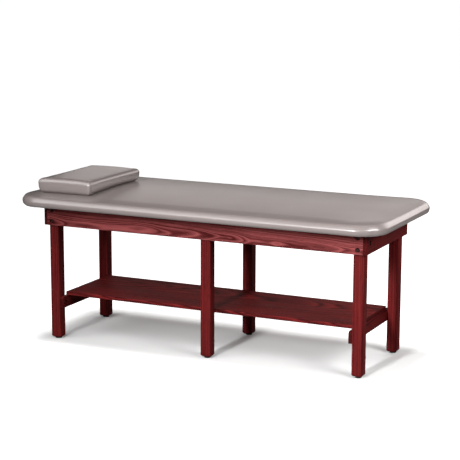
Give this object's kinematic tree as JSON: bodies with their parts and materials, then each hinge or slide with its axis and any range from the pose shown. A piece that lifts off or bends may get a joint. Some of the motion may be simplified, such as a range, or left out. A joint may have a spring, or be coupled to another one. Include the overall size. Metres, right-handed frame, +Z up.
{
  "type": "treatment table",
  "caption": "Fixed-height hardwood treatment table on middle and corner legs, with a full shelf, an upholstered top with rolled edges and a loose flat pillow.",
  "frame": {"origin": "on the floor, under the middle of the table's outer box", "axes": "+X along the table to its foot end, -Y to the front side, +Z up; the pillow lies at the -X end"},
  "size_m": [1.981, 0.864, 0.8553],
  "materials": {
    "stained_hardwood": "dark cherry stain under satin lacquer",
    "plain_softwood": "bare planed",
    "deck_plywood": "bare birch plywood",
    "vinyl_upholstery": "warm grey vinyl, fine grain, satin",
    "foam": "open-cell upholstery foam",
    "black_rubber": "moulded rubber, matt",
    "bronze_bolts": "antique bronze plating",
    "black_washers": "black oxide",
    "black_steel": "black powder coat",
    "zinc_screws": "bright zinc plating"
  },
  "bodies": {
    "table": {"angle_screws": "zinc_screws", "apron_bolts": "bronze_bolts", "apron_washers": "black_washers", "back_apron": "stained_hardwood", "batten_screws": "zinc_screws", "brace_screws": "zinc_screws", "deck_batten_foot_back": "plain_softwood", "deck_batten_foot_front": "plain_softwood", "deck_batten_head_back": "plain_softwood", "deck_batten_head_front": "plain_softwood", "deck_screws": "zinc_screws", "end_rail_bolts": "bronze_bolts", "end_rail_washers": "black_washers", "foot_end_rail": "stained_hardwood", "foot_screws": "zinc_screws", "front_apron": "stained_hardwood", "head_end_rail": "stained_hardwood", "leg_foot_back": "stained_hardwood", "leg_foot_front": "stained_hardwood", "leg_head_back": "stained_hardwood", "leg_head_front": "stained_hardwood", "leg_middle_back": "stained_hardwood", "leg_middle_front": "stained_hardwood", "middle_brace": "plain_softwood", "middle_leg_screws": "zinc_screws", "rubber_foot_foot_back": "black_rubber", "rubber_foot_foot_front": "black_rubber", "rubber_foot_head_back": "black_rubber", "rubber_foot_head_front": "black_rubber", "rubber_foot_middle_back": "black_rubber", "rubber_foot_middle_front": "black_rubber", "shelf": "stained_hardwood", "shelf_angle_back": "black_steel", "shelf_angle_front": "black_steel", "shelf_rail_bolts": "bronze_bolts", "shelf_rail_foot": "stained_hardwood", "shelf_rail_head": "stained_hardwood", "shelf_rail_washers": "black_washers", "shelf_screws": "zinc_screws", "top_cover": "vinyl_upholstery", "top_deck": "deck_plywood", "top_foam": "foam"},
    "pillow": {"pillow_cover": "vinyl_upholstery", "pillow_foam": "foam"}
  },
  "joints": [
    {"name": "pillow_lift", "type": "slide", "parent": "table", "child": "pillow", "axis": [0, 0, 1], "range_m": [0, 0.3]}
  ]
}
